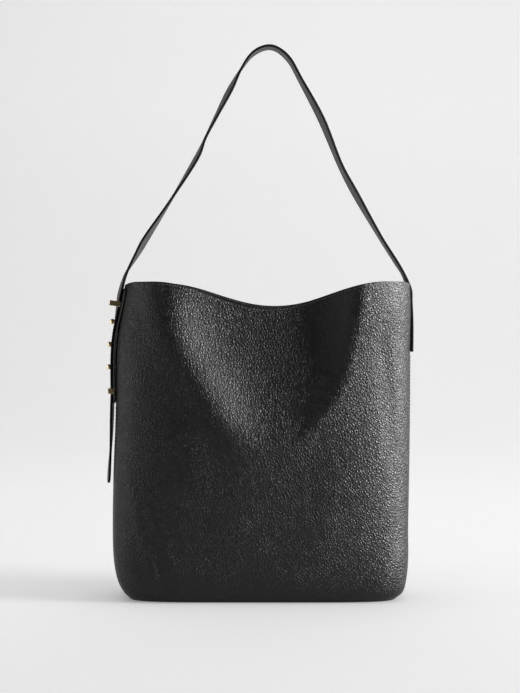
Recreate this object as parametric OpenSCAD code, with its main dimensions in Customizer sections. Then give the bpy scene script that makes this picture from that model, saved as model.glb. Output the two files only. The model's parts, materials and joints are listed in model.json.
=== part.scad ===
// Leather bucket tote used as a diaper bag: an open-topped two-panel body on a flat base, lined inside,
// with one shoulder strap that buttons over three studs on the left side.
// Millimetres. +Z up, front towards -Y, origin on the floor under the middle of the base.

/* [Leather body] */
// Thickness of the outer leather
leather_t = 1.8; // [1.4:0.1:2.0]
// Height of the rim at the sides
rim_h = 356.5; // [350:0.5:358]
// How far the front rim scoops down at its lowest point
front_scoop = 30; // [20:1:34]
// How far the back rim scoops down at its lowest point
back_scoop = 24.5; // [18:0.5:30]
// How deep the mouth's front edge falls inwards
front_dish = 30; // [20:1:32]
// How deep the mouth's back edge falls inwards
back_dish = 26; // [18:1:28]
// Depth of the leather facing inside the rim
facing_h = 45; // [38:1:45]

/* [Strap] */
// Width of the shoulder strap
strap_w = 26; // [22:1:28]
// Thickness of the doubled strap
strap_t = 2.7; // [2.2:0.1:2.9]
// Height of the axis that the strap swings on
swing_z = 370; // [370:1:374]
// Height of the lowest point of the strap's free tail
tail_end_z = 129.5; // [125:0.5:140]
// Height of the lowest point of the strap end sewn to the right side
sewn_end_z = 281; // [276:1:290]

/* [Side hardware] */
// Height of the middle stud
stud_z = 288; // [287:0.5:289]
// Distance between studs, and between the holes in the strap
stud_pitch = 25.5; // [25:0.5:27]
// Radius of a stud's head
stud_head_r = 3.2; // [2.8:0.1:3.6]
// Radius of a stud's neck
stud_neck_r = 1.6; // [1.4:0.1:1.7]
// Height of the middle of the upper keeper
upper_keeper_z = 335; // [334:1:338]
// Height of the middle of the lower keeper
lower_keeper_z = 236; // [235:1:237]
// Height of a keeper's band
keeper_band = 6; // [5:0.5:7]

/* [Inside] */
// Length of the zip pocket's teeth
zip_len = 176; // [150:2:176]
// Height of the zip's centre line
zip_z = 228; // [224:1:230]
// Width of the divided slip pocket
slip_w = 184; // [160:2:186]

/* [Hidden] */

// Cross-sections of the body: height, left seam x, right seam x, half depth, squareness
sections = [
    [0,   -149,   149,   50,   5.0],
    [8,   -156.5, 156.5, 56,   5.0],
    [22,  -163.5, 163,   60,   4.8],
    [45,  -168,   167,   62,   4.4],
    [80,  -169.5, 168.5, 62.5, 3.9],
    [140, -169,   170,   62,   3.3],
    [210, -166.5, 171,   62,   2.8],
    [270, -166.5, 171.3, 63,   2.6],
    [300, -164.8, 171.5, 64.5, 2.55],
    [330, -160.4, 171.2, 66,   2.5],
    [362, -155.5, 169.5, 67,   2.4]];
// Sideways shear of the mouth, as sideways travel per millimetre of depth
mouth_shear = 0.125;
shear_from_z = 280;
// The dish in the mouth's edge: half width, depth below the rim, sideways drift at its foot
dish_half_w = 106;
dish_drop = 190;
dish_drift = 34;
// Half the span of the rim's scoop, and where its lowest point is on each panel
scoop_half_w = 132;
front_scoop_x = 10;
back_scoop_x = 2;
seam_drop = 3;

clear = 0.3;
board_t = 3;
cloth_t = 0.8;
facing_t = 1.4;
facing_off = leather_t + 1.5;
facing_in = facing_off + facing_t;
lining_off = leather_t + 1.4;
lining_plane = 46.3;
front_lining_plane = 49.2;
panel_cells = [5, 26, 28];
lining_cells = [5, 26, 20];
band_cells = [4, 24, 4];
seam_gap = 0.15;
backing_off = facing_in + 1.9;
backing_gap = 0.2;
backing_t = 0.8;
backing_w = 16;
nut_off = backing_off + backing_t + backing_gap;
nut_h = 1.8;
washer_r = 6.5;
washer_t = 0.5;
tab_off = 1;
tab_t = 1.6;
tab_w = 36;
tab_low_z = 222;
tab_high_z = 353;
strap_off = tab_off + tab_t + 0.2;
run_top_z = swing_z - strap_w / 2 - 1;
keeper_wall = 1.9;
keeper_bar_off = 0.35;
keeper_bar_t = 0.5;
keeper_play = 0.75;
upper_keeper_reach = 13;
lower_keeper_reach = 8.2;
hole_r = stud_neck_r + 0.35;
stud_heights = [for (i = [-1:1]) stud_z + i * stud_pitch];
tail_lean = 2.2;
tail_pivot_z = lower_keeper_z - keeper_band / 2 - 2.2;
tail_top_gap = 0.4;
slider_l = 11;
slider_w = 8.4;
slot_h = 11;
pull_pin_r = 0.8;
snap_front_z = 303;
snap_back_z = 309;
snap_x = 6;

// Centre line of the strap above the bag: sideways place, height, and twist in degrees, which is
// positive where the strap's inner face is turned to the front
strap_line = [
    [-155,  370, -5], [-142, 393,  4], [-131, 412,  8], [-105, 452, -3], [-75, 501, -17],
    [-64,   525, -6], [-52,  549, -12], [-36, 580, -21], [-23, 604, -6], [-8, 623, 0],
    [12,    629.5, 0], [31,  617,  4], [46,  591,  6],  [70,  546, 13], [91, 495, 8],
    [109,   461, 12], [136, 414,  3], [155,  384,  3], [163.5, 370, 0]];

// ---- Curves -------------------------------------------------------------------------------------

// Smooth step from 0 at a to 1 at b
function ease(a, b, x) = let (t = min(1, max(0, (x - a) / (b - a)))) t * t * (3 - 2 * t);

// Index of the table row that starts the interval holding x
function row_of(table, x, i = 0) =
    i >= len(table) - 2 || x < table[i + 1][0] ? i : row_of(table, x, i + 1);

// Slope of column k at row i of a table, from its neighbours
function table_slope(table, k, i) =
    let (a = max(0, i - 1), b = min(len(table) - 1, i + 1))
    (table[b][k] - table[a][k]) / (table[b][0] - table[a][0]);

// Column k of a table at x, along a smooth cubic through its rows
function curve(table, k, x) =
    let (i = row_of(table, x), h = table[i + 1][0] - table[i][0], t = (x - table[i][0]) / h,
         p = table[i][k], q = table[i + 1][k],
         m = h * table_slope(table, k, i), n = h * table_slope(table, k, i + 1))
    (2 * t ^ 3 - 3 * t ^ 2 + 1) * p + (t ^ 3 - 2 * t ^ 2 + t) * m
    + (3 * t ^ 2 - 2 * t ^ 3) * q + (t ^ 3 - t ^ 2) * n;

// Point at parameter t, from 0 to 1, between rows i and i + 1 of a list of points
function along(line, i, t) =
    let (n = len(line) - 1, a = line[max(0, i - 1)], b = line[i], c = line[min(n, i + 1)],
         d = line[min(n, i + 2)])
    0.5 * (2 * b + (c - a) * t + (2 * a - 5 * b + 4 * c - d) * t ^ 2
           + (3 * b - a - 3 * c + d) * t ^ 3);

// ---- Body surface -------------------------------------------------------------------------------

// Depth of the inward dish at x and z, on a panel with that much dish at its rim
function dish(x, z, depth) =
    let (down = (rim_h - z) / dish_drop, drift = dish_drift * max(0, down),
         r2 = ((x - drift) / dish_half_w) ^ 2 + down ^ 2)
    depth * (r2 < 1 ? (1 - r2) ^ 2 : 0);

// Point of the wall at outline place f = [-1..1 across, 0..1 deep], height z, inset off.
// side is -1 on the front panel and 1 on the back one.
function wall(f, z, off, side) =
    let (left = curve(sections, 1, z) + off, right = curve(sections, 2, z) - off,
         deep = curve(sections, 3, z) - off, power = curve(sections, 4, z),
         k = (abs(f[0]) ^ power + abs(f[1]) ^ power) ^ (-1 / power),
         x = (left + right) / 2 + f[0] * k * (right - left) / 2,
         sag = dish(x, z, side < 0 ? front_dish : back_dish),
         y = side * max(seam_gap, f[1] * k * deep - sag * ease(0, 0.5, f[1] * k)))
    [x - y * mouth_shear * ease(shear_from_z, rim_h, z), y, z];

// Height of the rim at outline place f
function rim(f, side) =
    let (x = wall(f, rim_h, 0, side)[0],
         u = (x - (side < 0 ? front_scoop_x : back_scoop_x)) / scoop_half_w,
         scoop = abs(u) < 1 ? cos(90 * u) ^ 2 : 0)
    rim_h - (side < 0 ? front_scoop : back_scoop) * scoop
    - seam_drop * ease(0.92, 1, abs(f[0])) * (1 - ease(0, 0.5, f[1]));

// Places along half of the outline: up one side, across, and back down the other side
function outline(cells) = concat(
    [for (i = [0:cells[0] - 1]) [-1, i / cells[0]]],
    [for (i = [0:cells[1]]) [-1 + 2 * i / cells[1], 1]],
    [for (i = [cells[0] - 1:-1:0]) [1, i / cells[0]]]);

// Grid of wall points from low to high, each a height or a distance below the rim when negative
function wall_grid(cells, low, high, off, side, plane = 1000) =
    [for (j = [0:cells[2]]) [for (f = outline(cells))
        let (top = rim(f, side) + high, base = low < 0 ? rim(f, side) + low : low,
             p = wall(f, base + (top - base) * j / cells[2], off, side))
        [p[0], side * min(abs(p[1]), plane), p[2]]]];

// Left and right seam, and the slope of the left one in degrees from upright
function left_x(z) = curve(sections, 1, z);
function right_x(z) = curve(sections, 2, z);
function left_lean(z) = atan((left_x(z + 1) - left_x(z - 1)) / 2);
function right_lean(z) = atan((right_x(z + 1) - right_x(z - 1)) / 2);

// ---- Building blocks ----------------------------------------------------------------------------

function quad(a, b, c, d) = [[a, b, c], [a, c, d]];

// Closed shell between two grids of points of the same size. flip turns its faces over.
module shell(outer, inner, flip = false) {
    rows = len(outer);
    cols = len(outer[0]);
    n = rows * cols;
    points = concat([for (r = outer) each r], [for (r = inner) each r]);
    faces = [
        for (i = [0:rows - 2]) for (j = [0:cols - 2]) let (a = i * cols + j)
            each concat(quad(a, a + cols, a + cols + 1, a + 1),
                        quad(n + a, n + a + 1, n + a + cols + 1, n + a + cols)),
        for (j = [0:cols - 2]) let (b = (rows - 1) * cols + j)
            each concat(quad(j, j + 1, n + j + 1, n + j), quad(b + 1, b, n + b, n + b + 1)),
        for (i = [0:rows - 2]) let (a = i * cols, b = i * cols + cols - 1)
            each concat(quad(a, n + a, n + a + cols, a + cols),
                        quad(b, b + cols, n + b + cols, n + b))];
    polyhedron(points, [for (f = faces) flip ? [f[2], f[1], f[0]] : f], convexity = 10);
}

// Wall layer of one panel between two insets
module layer(cells, low, high, off, t, side, plane = 1000) {
    shell(wall_grid(cells, low, high, off, side, plane),
          wall_grid(cells, low, high, off + t, side, plane - t), side > 0);
}

// Flat plate with the body's outline at height z, inset off
module base_plate(z, off, t) {
    front = [for (f = outline([6, 24, 1])) let (p = wall(f, z, off, -1)) [p[0], p[1]]];
    translate([0, 0, z]) linear_extrude(t)
        polygon(concat(front, [for (i = [len(front) - 1:-1:0]) [front[i][0], -front[i][1]]]));
}

// Strip of leather upright against a side seam, from z0 to z1, at inset off outside the seam
module side_strip(z0, z1, off, t, w, left = true) {
    n = 14;
    zs = [for (i = [0:n]) z0 + (z1 - z0) * i / n];
    sign = left ? -1 : 1;
    near = [for (z = zs) [(left ? left_x(z) : right_x(z)) + sign * off, z]];
    far = [for (i = [n:-1:0]) [near[i][0] + sign * t, zs[i]]];
    rotate([90, 0, 0]) linear_extrude(w, center = true) polygon(concat(near, far));
}

// Prism through X with round corners of radius r, for trimming a side strip's ends
module end_trim(z0, z1, w, r) {
    rotate([90, 0, 90]) linear_extrude(500, center = true)
        offset(r) translate([-w / 2 + r, z0 + r]) square([w - 2 * r, z1 - z0 - 2 * r]);
}

// Puts its children on the left seam at height z, with -X pointing out of the bag
module on_left(z) {
    translate([left_x(z), 0, z]) rotate([0, left_lean(z), 0]) children();
}

// A row of cylinders through the left seam at the stud heights
module stud_bores(r) {
    for (z = stud_heights) on_left(z) rotate([0, 90, 0]) cylinder(h = 40, r = r, center = true, $fn = 24);
}

// ---- Leather body -------------------------------------------------------------------------------

module front_panel() {
    color([0.06, 0.06, 0.065]) difference() {
        layer(panel_cells, 0.4, 0, 0, leather_t, -1);
        stud_bores(stud_neck_r + clear);
    }
}

module back_panel() {
    color([0.06, 0.06, 0.065]) difference() {
        layer(panel_cells, 0.4, 0, 0, leather_t, 1);
        stud_bores(stud_neck_r + clear);
    }
}

module base_panel() {
    color([0.05, 0.05, 0.055]) base_plate(0, leather_t + clear, 2);
}

module base_board() {
    color([0.45, 0.38, 0.3]) base_plate(2.3, leather_t + 3, board_t);
}

module base_lining() {
    color([0.2, 0.19, 0.18]) base_plate(2.3 + board_t + clear, leather_t + 3, cloth_t);
}

module front_facing() {
    color([0.06, 0.06, 0.065]) difference() {
        layer(band_cells, -facing_h, -0.2, facing_off, facing_t, -1);
        stud_bores(stud_neck_r + clear);
    }
}

module back_facing() {
    color([0.06, 0.06, 0.065]) difference() {
        layer(band_cells, -facing_h, -0.2, facing_off, facing_t, 1);
        stud_bores(stud_neck_r + clear);
    }
}

module front_lining() {
    color([0.2, 0.19, 0.18]) difference() {
        layer(lining_cells, 7.2, -facing_h - 0.6, lining_off, cloth_t, -1, front_lining_plane + cloth_t);
        stud_bores(stud_neck_r + clear);
    }
}

module back_lining() {
    color([0.2, 0.19, 0.18]) difference() {
        layer(lining_cells, 7.2, -facing_h - 0.6, lining_off, cloth_t, 1, lining_plane + cloth_t);
        stud_bores(stud_neck_r + clear);
        translate([0, lining_plane, zip_z]) cube([zip_len + 16, 8, slot_h], center = true);
    }
}

// ---- Studded side -------------------------------------------------------------------------------

// Narrow windows in the stud tab that the keepers' legs pass through
module keeper_slits() {
    for (z = [upper_keeper_z, lower_keeper_z]) for (s = [-1, 1])
        on_left(z) translate([0, s * (strap_w / 2 + keeper_play + keeper_wall / 2), 0])
            cube([14, keeper_wall + 0.4, keeper_band + 0.4], center = true);
}

module stud_tab() {
    color([0.05, 0.05, 0.055]) difference() {
        intersection() {
            side_strip(tab_low_z, tab_high_z, tab_off, tab_t, tab_w);
            end_trim(tab_low_z, tab_high_z, tab_w, 5);
        }
        stud_bores(stud_neck_r + clear);
        keeper_slits();
    }
}

// Rectangular loop round the strap, its back bar clasped behind the stud tab
module keeper(z, reach) {
    inner_w = strap_w + 2 * keeper_play;
    bar_in = keeper_bar_off + keeper_bar_t;
    on_left(z) rotate([0, 0, 180]) difference() {
        translate([keeper_bar_off, -inner_w / 2 - keeper_wall, -keeper_band / 2])
            cube([reach - keeper_bar_off, inner_w + 2 * keeper_wall, keeper_band]);
        translate([bar_in, -inner_w / 2, -keeper_band])
            cube([reach - bar_in - keeper_wall, inner_w, 2 * keeper_band]);
    }
}

module upper_keeper() {
    color([0.78, 0.62, 0.35]) keeper(upper_keeper_z, upper_keeper_reach);
}

module lower_keeper() {
    color([0.78, 0.62, 0.35]) keeper(lower_keeper_z, lower_keeper_reach);
}

// Mushroom-headed studs, with a neck that runs through the wall to a nut inside
module strap_studs() {
    top = strap_off + strap_t + 0.2;
    color([0.78, 0.62, 0.35]) for (z = stud_heights) on_left(z) rotate([0, -90, 0]) {
        translate([0, 0, -nut_off - nut_h])
            cylinder(h = top + nut_off + nut_h + 0.5, r = stud_neck_r, $fn = 32);
        translate([0, 0, top]) rotate_extrude($fn = 48)
            polygon([[0, 0], [stud_head_r - 0.5, 0], [stud_head_r, 0.6], [stud_head_r, 3],
                     [stud_head_r - 0.35, 3.8], [stud_head_r - 1.2, 4.3], [0, 4.5]]);
    }
}

module stud_nuts() {
    color([0.78, 0.62, 0.35]) for (z = stud_heights) on_left(z) rotate([0, 90, 0])
        translate([0, 0, nut_off]) difference() {
            cylinder(h = nut_h, r = 4, $fn = 48);
            translate([0, 0, -1]) cylinder(h = 4, r = stud_neck_r + 0.05, $fn = 32);
        }
}

module stud_backing() {
    color([0.1, 0.1, 0.1]) difference() {
        side_strip(stud_heights[0] - 12, stud_heights[2] + 10, -nut_off + backing_gap, backing_t, backing_w);
        stud_bores(stud_neck_r + clear);
    }
}

// ---- Strap --------------------------------------------------------------------------------------

// Stretch of strap held against the left side by the keepers and studs
module strap_run() {
    color([0.06, 0.06, 0.065]) difference() {
        side_strip(tail_pivot_z + tail_top_gap + strap_t / 2, run_top_z, strap_off, strap_t, strap_w);
        stud_bores(hole_r);
    }
}

// One cross-section of the strap at p = [x, z, twist], square to the direction d
function strap_section(p, d, half_w = strap_w / 2) =
    let (u = d / norm(d), across = [0, 1, 0], out = [-u[1], 0, u[0]],
         w = across * cos(p[2]) - out * sin(p[2]), n = out * cos(p[2]) + across * sin(p[2]))
    [for (s = [[-1, -1], [1, -1], [1, 1], [-1, 1]])
        [p[0], 0, p[1]] + w * s[0] * half_w + n * s[1] * strap_t / 2];

// Cross-section of a round end, at angle a round from the middle p of its edge, where the strap runs along d
function round_end(p, d, a) =
    let (u = d / norm(d), step = u * strap_w / 2 * sin(a))
    strap_section([p[0] - step[0], p[1] - step[1], p[2]], d, strap_w / 2 * cos(a));

// Direction of the strap at point i of a list
function heading(at, i) =
    let (a = at[max(0, i - 1)], b = at[min(len(at) - 1, i + 1)])
    [b[0] - a[0], b[1] - a[1]];

// Ribbon with round ends, swept along the strap's line
module ribbon(line, steps) {
    last = len(line) - 2;
    at = [for (i = [0:last]) for (k = [0:steps - 1]) along(line, i, k / steps), line[last + 1]];
    m = len(at) - 1;
    rings = concat(
        [for (a = [80:-20:20]) round_end(at[0], heading(at, 0), a)],
        [for (i = [0:m]) strap_section(at[i], heading(at, i))],
        [for (a = [20:20:80]) round_end(at[m], heading(at, m), -a)]);
    n = len(rings) - 1;
    sides = [for (i = [0:n - 1]) for (k = [0:3])
        each quad(4 * i + k, 4 * i + 4 + k, 4 * i + 4 + (k + 1) % 4, 4 * i + (k + 1) % 4)];
    ends = concat(quad(0, 1, 2, 3), quad(4 * n + 3, 4 * n + 2, 4 * n + 1, 4 * n));
    polyhedron([for (r = rings) each r], concat(sides, ends), convexity = 8);
}

module strap_handle() {
    color([0.06, 0.06, 0.065]) ribbon(strap_line, 3);
}

// Free end that hangs below the lower keeper, leaning away from the wall
module strap_tail() {
    length = tail_pivot_z - tail_end_z;
    color([0.06, 0.06, 0.065]) translate([left_x(tail_pivot_z) - strap_off - strap_t / 2, 0, tail_pivot_z])
        rotate([0, tail_lean, 0]) difference() {
            union() {
                translate([-strap_t / 2, -strap_w / 2, -length + strap_w / 2])
                    cube([strap_t, strap_w, length - strap_w / 2]);
                translate([0, 0, -length + strap_w / 2]) rotate([0, 90, 0])
                    cylinder(h = strap_t, r = strap_w / 2, center = true, $fn = 64);
                rotate([90, 0, 0]) cylinder(h = strap_w, r = strap_t / 2, center = true, $fn = 32);
            }
            for (i = [1:2]) translate([0, 0, -i * stud_pitch + 4]) rotate([0, 90, 0])
                cylinder(h = 10, r = hole_r, center = true, $fn = 24);
        }
}

module strap_sewn_end() {
    color([0.06, 0.06, 0.065])
        side_strip(sewn_end_z, run_top_z, tab_off, strap_t, strap_w, left = false);
}

module sewn_end_backing() {
    color([0.1, 0.1, 0.1])
        side_strip(sewn_end_z - 3, run_top_z - 20, -nut_off + backing_gap, backing_t, backing_w, left = false);
}

// ---- Magnetic snap ------------------------------------------------------------------------------

// Puts its children on the inside of a facing at height z, with +Z pointing into the bag
module on_facing(z, side, lift) {
    a = wall([snap_x / 170, 1], z - 5, facing_in, side);
    b = wall([snap_x / 170, 1], z + 5, facing_in, side);
    tilt = atan((b[1] - a[1]) / (b[2] - a[2]));
    translate((a + b) / 2) rotate([side * 90 - tilt, 0, 0]) translate([0, 0, lift]) children();
}

module snap_socket() {
    color([0.75, 0.6, 0.35]) on_facing(snap_front_z, -1, 0.5) difference() {
        cylinder(h = 3.2, r = 9, $fn = 64);
        translate([0, 0, 1.2]) cylinder(h = 4, r = 3, $fn = 32);
    }
}

module snap_stud() {
    color([0.75, 0.6, 0.35]) on_facing(snap_back_z, 1, 0.5) {
        cylinder(h = 2.2, r = 9, $fn = 64);
        cylinder(h = 4, r = 2.8, $fn = 32);
    }
}

module snap_washers() {
    color([0.6, 0.6, 0.6]) {
        on_facing(snap_front_z, -1, -facing_t - 1) cylinder(h = washer_t, r = washer_r, $fn = 48);
        on_facing(snap_back_z, 1, -facing_t - 1) cylinder(h = washer_t, r = washer_r, $fn = 48);
    }
}

// ---- Zip pocket ---------------------------------------------------------------------------------

// Box by its lowest and highest corners
module block(low, high) {
    translate(low) cube(high - low);
}

module zip_welt() {
    half = zip_len / 2;
    y = lining_plane - 2.2;
    color([0.06, 0.06, 0.065]) difference() {
        block([-half - 16, y, zip_z - 12], [half + 16, y + 1.2, zip_z + 12]);
        block([-half - 8, y - 1, zip_z - slot_h / 2], [half + 8, y + 3, zip_z + slot_h / 2]);
    }
}

module zip_tapes() {
    half = zip_len / 2 + 12;
    y = lining_plane - 0.8;
    color([0.08, 0.08, 0.08]) for (s = [-1, 1])
        block([-half, y, zip_z + (s > 0 ? 2.6 : -10)], [half, y + 0.6, zip_z + (s > 0 ? 10 : -2.6)]);
}

module zip_teeth() {
    pitch = 2;
    half = zip_len / 2 - 1;
    color([0.78, 0.62, 0.35]) for (s = [-1, 1]) for (x = [-half:pitch:half])
        translate([x + (s > 0 ? pitch / 2 : 0), lining_plane - 0.5, zip_z + s * 1.6])
            cube([1.2, 1.8, 1.9], center = true);
}

module zip_stops() {
    color([0.78, 0.62, 0.35]) for (s = [-1, 1])
        translate([s * (zip_len / 2 + 3), lining_plane - 0.5, zip_z]) cube([2.6, 1.8, 5], center = true);
}

// Slider at the closed end of the zip: two plates round the teeth, joined between the two rows
module zip_slider() {
    x = -zip_len / 2 + 2;
    front = lining_plane - 1.7;
    back = lining_plane + 0.7;
    color([0.78, 0.62, 0.35]) union() {
        block([x, front - 1.3, zip_z - slider_w / 2], [x + slider_l, front, zip_z + slider_w / 2]);
        block([x, back, zip_z - slider_w / 2], [x + slider_l, back + 1, zip_z + slider_w / 2]);
        block([x + 4, front - 0.1, zip_z - 0.35], [x + slider_l - 3, back + 0.1, zip_z + 0.35]);
        for (s = [-1, 1])
            block([x + slider_l / 2 + s * 3.4 - 0.6, front - 5, zip_z - 1.4],
                  [x + slider_l / 2 + s * 3.4 + 0.6, front - 1.2, zip_z + 1.4]);
        translate([x + slider_l / 2, front - 3.6, zip_z]) rotate([0, 90, 0])
            cylinder(h = 6.8, r = pull_pin_r, center = true, $fn = 32);
    }
}

// Pull that hangs from the slider's cross pin
module zip_pull() {
    x = -zip_len / 2 + 2 + slider_l / 2;
    y = lining_plane - 5.3;
    color([0.78, 0.62, 0.35]) translate([x, y, zip_z]) difference() {
        union() {
            rotate([0, 90, 0]) cylinder(h = 5, r = 1.8, center = true, $fn = 32);
            translate([-2.5, -0.8, -30]) cube([5, 1.6, 29]);
            translate([-3.5, -0.8, -30]) cube([7, 1.6, 18]);
        }
        rotate([0, 90, 0]) cylinder(h = 8, r = pull_pin_r + 0.08, center = true, $fn = 32);
    }
}

// Flat cloth pouch behind the lining
module zip_pocket() {
    half = zip_len / 2 + 6;
    y = lining_plane + 2.1;
    low = 124;
    color([0.25, 0.24, 0.22]) difference() {
        block([-half, y, low], [half, y + 1.4, zip_z - slot_h / 2 - 1]);
        block([-half + 0.6, y + 0.45, low + 0.6], [half - 0.6, y + 0.95, zip_z]);
    }
}

// ---- Slip pocket --------------------------------------------------------------------------------

slip_low = 104;
slip_high = 212;
slip_y = -front_lining_plane + 0.2;
slip_depth = 6.2;

// Cloth pocket on the front lining, sewn down at its sides, foot and middle
module slip_pocket() {
    half = slip_w / 2;
    color([0.22, 0.21, 0.2]) difference() {
        block([-half, slip_y, slip_low], [half, slip_y + slip_depth, slip_high - 8]);
        for (s = [-1, 1])
            block([s > 0 ? 0.5 : -half + cloth_t, slip_y - 1, slip_low + cloth_t],
                  [s > 0 ? half - cloth_t : -0.5, slip_y + slip_depth - cloth_t, slip_high]);
    }
}

module slip_pocket_binding() {
    half = slip_w / 2;
    y = slip_y + slip_depth;
    color([0.06, 0.06, 0.065]) difference() {
        block([-half, y - 1.5, slip_high - 7.7], [half, y + 0.3, slip_high]);
        block([-half - 1, y - 1, slip_high - 8], [half + 1, y - 0.2, slip_high - 1]);
    }
}

front_panel();
back_panel();
base_panel();
base_board();
base_lining();
front_facing();
back_facing();
front_lining();
back_lining();
stud_tab();
stud_backing();
strap_studs();
stud_nuts();
upper_keeper();
lower_keeper();
strap_run();
strap_handle();
strap_tail();
strap_sewn_end();
sewn_end_backing();
snap_socket();
snap_stud();
snap_washers();
zip_welt();
zip_tapes();
zip_teeth();
zip_stops();
zip_slider();
zip_pull();
zip_pocket();
slip_pocket();
slip_pocket_binding();
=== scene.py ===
"""Looks of a black pebbled-leather bucket tote with gold hardware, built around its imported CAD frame.

Shapes are worked out in millimetres, and turned into metres as each mesh is made. The body follows the
CAD's surface, but its rim is higher, its mouth has fallen in deeper and its lower right corner is squarer.
The front is towards -Y and the studded side towards -X.
"""
import json
import math

import bmesh
import bpy
import numpy as np
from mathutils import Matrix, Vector

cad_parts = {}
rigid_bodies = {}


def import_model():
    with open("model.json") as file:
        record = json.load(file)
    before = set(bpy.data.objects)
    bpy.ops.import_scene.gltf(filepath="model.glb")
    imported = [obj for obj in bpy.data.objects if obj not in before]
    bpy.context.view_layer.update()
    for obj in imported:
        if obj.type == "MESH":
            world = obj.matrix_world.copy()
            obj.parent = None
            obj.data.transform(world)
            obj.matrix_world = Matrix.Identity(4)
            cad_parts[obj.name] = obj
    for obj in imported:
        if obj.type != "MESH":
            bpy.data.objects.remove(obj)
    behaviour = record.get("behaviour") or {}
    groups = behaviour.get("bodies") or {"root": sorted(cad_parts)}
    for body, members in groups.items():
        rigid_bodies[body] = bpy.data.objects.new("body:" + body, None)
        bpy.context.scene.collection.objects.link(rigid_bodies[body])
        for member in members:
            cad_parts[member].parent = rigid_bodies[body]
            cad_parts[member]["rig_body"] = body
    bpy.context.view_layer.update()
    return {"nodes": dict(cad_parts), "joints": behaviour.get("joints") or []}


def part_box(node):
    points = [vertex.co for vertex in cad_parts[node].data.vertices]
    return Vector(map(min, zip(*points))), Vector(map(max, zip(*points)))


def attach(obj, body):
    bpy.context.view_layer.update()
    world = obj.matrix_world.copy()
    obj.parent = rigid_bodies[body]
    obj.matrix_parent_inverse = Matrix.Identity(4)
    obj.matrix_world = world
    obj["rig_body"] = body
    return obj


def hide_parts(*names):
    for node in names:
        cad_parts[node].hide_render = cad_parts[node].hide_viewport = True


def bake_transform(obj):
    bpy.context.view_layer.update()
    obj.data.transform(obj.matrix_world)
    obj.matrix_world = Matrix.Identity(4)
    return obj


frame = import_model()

MM = 0.001


def low(node):
    """Lowest corner of a CAD node, in millimetres."""
    return np.array(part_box(node)[0]) / MM


def high(node):
    """Highest corner of a CAD node, in millimetres."""
    return np.array(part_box(node)[1]) / MM


# ---- Sizes, in millimetres ----------------------------------------------------------------------

LEATHER_T = 1.8
FACING_T = 1.4
FACING_OFF = 3.3
CLOTH_T = 0.8
LINING_OFF = 3.4
RIM_H = high("front_panel")[2] + 4  # the photograph's rim is a little higher than the CAD's
FACING_H = 45
SCOOP = {-1: 30, 1: 27}  # by side: -1 is the front and 1 the back
SCOOP_X = {-1: 10, 1: 16}
SCOOP_HALF_W = 132
SEAM_DROP = 3
SEAM_GAP = 0.15
SHEAR = 0.125
SHEAR_FROM_Z = 280
TAB_OFF = 1.0
TAB_T = 1.6
STRAP_W = 26
STRAP_T = 2.7
RUN_OFF = TAB_OFF + TAB_T + 0.2 + STRAP_T / 2
SEWN_OFF = 0.2 + STRAP_T / 2
SEWN_TWIST = 0.4  # share of the side's own turn that the sewn end takes
RIM_STITCH_DROP = 2.6
EDGE_STITCH_IN = 2.6
STUD_PITCH = 25.5
STUD_MIDDLE = (low("strap_studs")[2] + high("strap_studs")[2]) / 2
STUD_HEIGHTS = [STUD_MIDDLE + i * STUD_PITCH for i in (-1, 0, 1)]
HOLE_R = 1.95
TAB_W = 36
TAB_CORNER_R = 5
LOWER_KEEPER_Z = (low("lower_keeper")[2] + high("lower_keeper")[2]) / 2
TAIL_PIVOT = np.array(next(j["pos_m"] for j in frame["joints"] if j["name"] == "tail_swing")) / MM

# Cross-sections of the body: height, left and right seam x, half depth, squareness. They are the CAD's,
# apart from the lower right corner.
SECTIONS = np.array([
    (0, -149, 153, 50, 5.0), (8, -156.5, 162, 56, 5.0), (22, -163.5, 166, 60, 4.8),
    (45, -168, 168.3, 62, 4.4), (80, -169.5, 168.5, 62.5, 3.9), (140, -169, 170, 62, 3.3),
    (210, -166.5, 171, 62, 2.8), (270, -166.5, 171.3, 63, 2.6), (300, -164.8, 171.5, 64.5, 2.55),
    (330, -160.4, 171.2, 66, 2.5), (362, -155.5, 169.5, 67, 2.4)])

# The strap's centre line above the bag, as in the CAD, with most of its turns smaller: x, z, degrees
ARCH = np.array([
    (-155, 370, -7), (-142, 393, 4), (-131, 412, 7), (-105, 452, -3), (-75, 501, -13), (-64, 525, -5),
    (-52, 549, -9), (-36, 580, -15), (-23, 604, -5), (-8, 623, 0), (12, 629.5, 0), (31, 617, 3),
    (46, 591, 4), (70, 546, 9), (91, 495, 5), (109, 461, 8), (136, 414, 2), (155, 384, 2),
    (163.5, 370, 0)])


# ---- Curves and the body's surface --------------------------------------------------------------

def ease(a, b, x):
    """Smooth step from 0 at a to 1 at b."""
    t = np.clip((x - a) / (b - a), 0, 1)
    return t * t * (3 - 2 * t)


def bump(x, width):
    """Smooth bell, 1 at x = 0."""
    return np.exp(-(x / width) ** 2)


def column(k, z):
    """Column k of SECTIONS at heights z, along a smooth cubic through its rows."""
    rows, values = SECTIONS[:, 0], SECTIONS[:, k]
    order = np.arange(len(rows))
    before, after = np.maximum(order - 1, 0), np.minimum(order + 1, len(rows) - 1)
    slopes = (values[after] - values[before]) / (rows[after] - rows[before])
    i = np.clip(np.searchsorted(rows, z, side="right") - 1, 0, len(rows) - 2)
    h = rows[i + 1] - rows[i]
    t = (z - rows[i]) / h
    return ((2 * t**3 - 3 * t**2 + 1) * values[i] + (t**3 - 2 * t**2 + t) * h * slopes[i]
            + (3 * t**2 - 2 * t**3) * values[i + 1] + (t**3 - t**2) * h * slopes[i + 1])


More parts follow.
